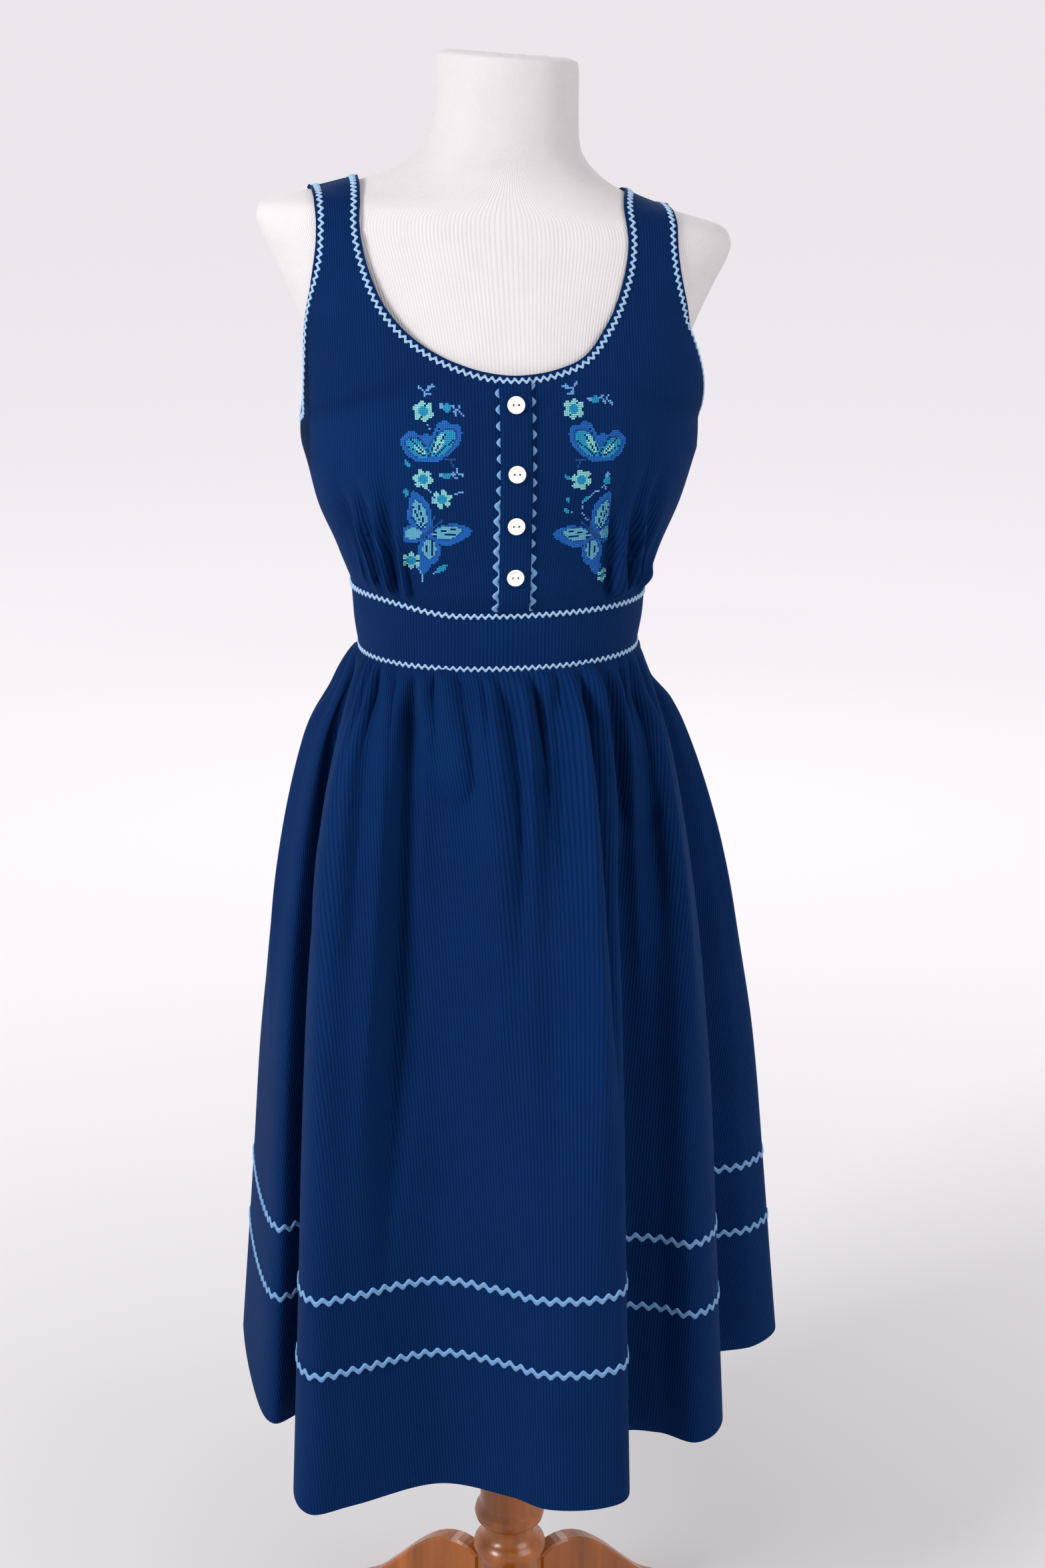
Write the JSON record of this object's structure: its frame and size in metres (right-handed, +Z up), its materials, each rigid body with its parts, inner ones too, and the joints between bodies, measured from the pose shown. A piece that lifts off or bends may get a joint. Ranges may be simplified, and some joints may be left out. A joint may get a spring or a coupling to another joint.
{
  "type": "pinafore dress on a dress form",
  "caption": "Sleeveless corduroy pinafore dress with wavy braid, a buttoned front band and a gathered skirt, worn by a limbless dress form on a tripod stand.",
  "frame": {"origin": "on the floor under the middle of the whole model's footprint", "axes": "+Z up along the form and its column; the front of the dress faces -Y; +X is the wearer's left"},
  "size_m": [0.5647, 0.4392, 1.6338],
  "materials": {
    "corduroy": "navy needlecord, ribs along the cloth",
    "braid": "light blue woven wavy braid",
    "button": "off-white polished two-hole button",
    "jersey": "white ribbed jersey cover",
    "wood": "varnished turned and sawn wood"
  },
  "bodies": {
    "root": {"bodice_front": "corduroy", "bodice_back_left": "corduroy", "bodice_back_right": "corduroy", "waistband": "corduroy", "skirt_front": "corduroy", "skirt_back_left": "corduroy", "skirt_back_right": "corduroy", "placket": "corduroy", "braid_neck": "braid", "braid_armhole_left": "braid", "braid_armhole_right": "braid", "braid_waist_upper": "braid", "braid_waist_lower": "braid", "braid_placket_left": "braid", "braid_placket_right": "braid", "braid_skirt_upper": "braid", "braid_skirt_lower": "braid", "button_1": "button", "button_2": "button", "button_3": "button", "button_4": "button", "form_torso": "jersey", "stand_column": "wood", "leg_1": "wood", "leg_2": "wood", "leg_3": "wood"}
  },
  "joints": []
}
